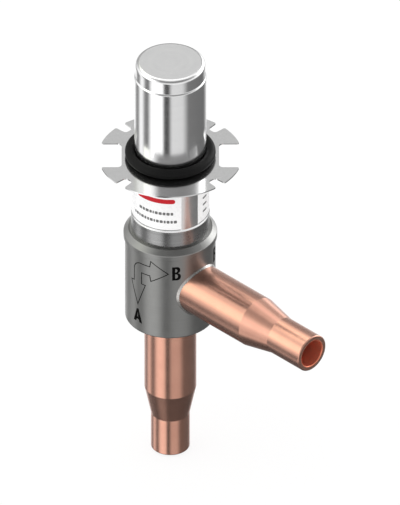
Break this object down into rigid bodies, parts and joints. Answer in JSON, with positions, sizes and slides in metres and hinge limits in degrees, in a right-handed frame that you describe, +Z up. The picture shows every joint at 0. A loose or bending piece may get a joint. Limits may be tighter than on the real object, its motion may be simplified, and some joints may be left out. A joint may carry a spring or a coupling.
{
  "type": "electronic expansion valve",
  "caption": "Stepper-driven expansion valve: steel body with a bottom and a side copper solder port, sealed rotor canister, coil lock plate and O-ring, inner screw, piston and seat.",
  "frame": {"origin": "centre of the mouth of the bottom port's (port A's) solder socket, on the main axis", "axes": "+Z up along the main axis from port A to the canister, +X out of the side port (port B)"},
  "size_m": [0.0917, 0.0484, 0.1578],
  "materials": {
    "satin_steel": "fine satin",
    "turned_steel": "turned, fine rings",
    "polished_steel": "polished",
    "spring_steel": "ground",
    "bearing_steel": "polished",
    "copper": "drawn copper, semi bright",
    "braze": "silver braze",
    "bronze": "machined",
    "black_rubber": "moulded, satin",
    "white_film": "printed film",
    "seal_plastic": "machined fluoropolymer",
    "hub_plastic": "moulded",
    "magnet": "bonded ferrite"
  },
  "bodies": {
    "housing": {"valve_body": "satin_steel", "port_a_tube": "copper", "port_b_tube": "copper", "port_a_braze": "braze", "port_b_braze": "braze", "seat_insert": "turned_steel", "seat_ring": "seal_plastic", "piston_guide": "bronze", "anti_rotation_pin": "bearing_steel", "bonnet": "turned_steel", "bonnet_o_ring": "black_rubber", "bearing_outer_race": "bearing_steel", "bearing_spring": "spring_steel", "bearing_circlip": "spring_steel", "top_bearing_plate": "spring_steel", "top_bush": "bronze", "rotor_canister": "polished_steel", "housing_sleeve": "polished_steel", "label": "white_film", "star_lock_plate": "polished_steel", "coil_o_ring": "black_rubber"},
    "rotor": {"spindle": "turned_steel", "bearing_inner_race": "bearing_steel", "spindle_clip": "spring_steel", "rotor_hub": "hub_plastic", "rotor_magnet": "magnet"},
    "ball_set": {"bearing_balls": "bearing_steel", "bearing_cage": "bronze"},
    "piston": {"piston": "turned_steel", "piston_seal": "seal_plastic", "piston_energiser": "black_rubber", "spindle_nut": "bronze", "nut_retaining_ring": "spring_steel"}
  },
  "joints": [
    {"name": "rotor_spin", "type": "hinge", "parent": "housing", "child": "rotor", "pos_m": [0, 0, 0.11005], "axis": [0, 0, -1], "range_deg": [0, 4500]},
    {"name": "ball_orbit", "type": "hinge", "parent": "housing", "child": "ball_set", "pos_m": [0, 0, 0.11005], "axis": [0, 0, -1], "range_deg": [0, 1590.01]},
    {"name": "piston_travel", "type": "slide", "parent": "housing", "child": "piston", "axis": [0, 0, 1], "range_m": [0, 0.005]}
  ],
  "couplings": [
    {"joint": "ball_orbit", "follows": "rotor_spin", "ratio": 0.35333},
    {"joint": "piston_travel", "follows": "rotor_spin", "m_per_rad": 0.000063661}
  ]
}
